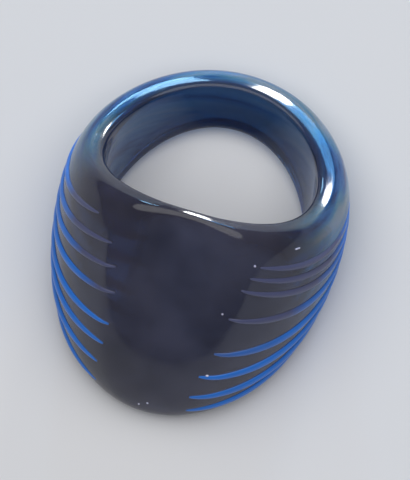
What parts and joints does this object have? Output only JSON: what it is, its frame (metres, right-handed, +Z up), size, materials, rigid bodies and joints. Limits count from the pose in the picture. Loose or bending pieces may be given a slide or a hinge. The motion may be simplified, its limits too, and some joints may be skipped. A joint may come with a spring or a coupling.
{
  "type": "guitar slide",
  "caption": "Ring-type glass guitar slide: a finger bore inside a wall that is a narrow band behind and a tall, hollowed playing face in front.",
  "frame": {"origin": "on the table, under the middle of the box round the slide as it rests on its lower edge", "axes": "+Z up from the table, the shortest extent; +Y from the playing face towards the back band, the longest extent; +X to the right as the playing face is looked at from in front"},
  "size_m": [0.0276, 0.0338, 0.0197],
  "materials": {
    "blue_glass": "gloss",
    "trail_glass": "gloss"
  },
  "bodies": {
    "root": {"glass_body": "blue_glass", "trail_left_1": "trail_glass", "trail_left_2": "trail_glass", "trail_left_3": "trail_glass", "trail_left_4": "trail_glass", "trail_left_5": "trail_glass", "trail_left_6": "trail_glass", "trail_left_7": "trail_glass", "trail_left_8": "trail_glass", "trail_right_1": "trail_glass", "trail_right_2": "trail_glass", "trail_right_3": "trail_glass", "trail_right_4": "trail_glass", "trail_right_5": "trail_glass", "trail_right_6": "trail_glass", "trail_right_7": "trail_glass", "trail_right_8": "trail_glass"}
  },
  "joints": []
}
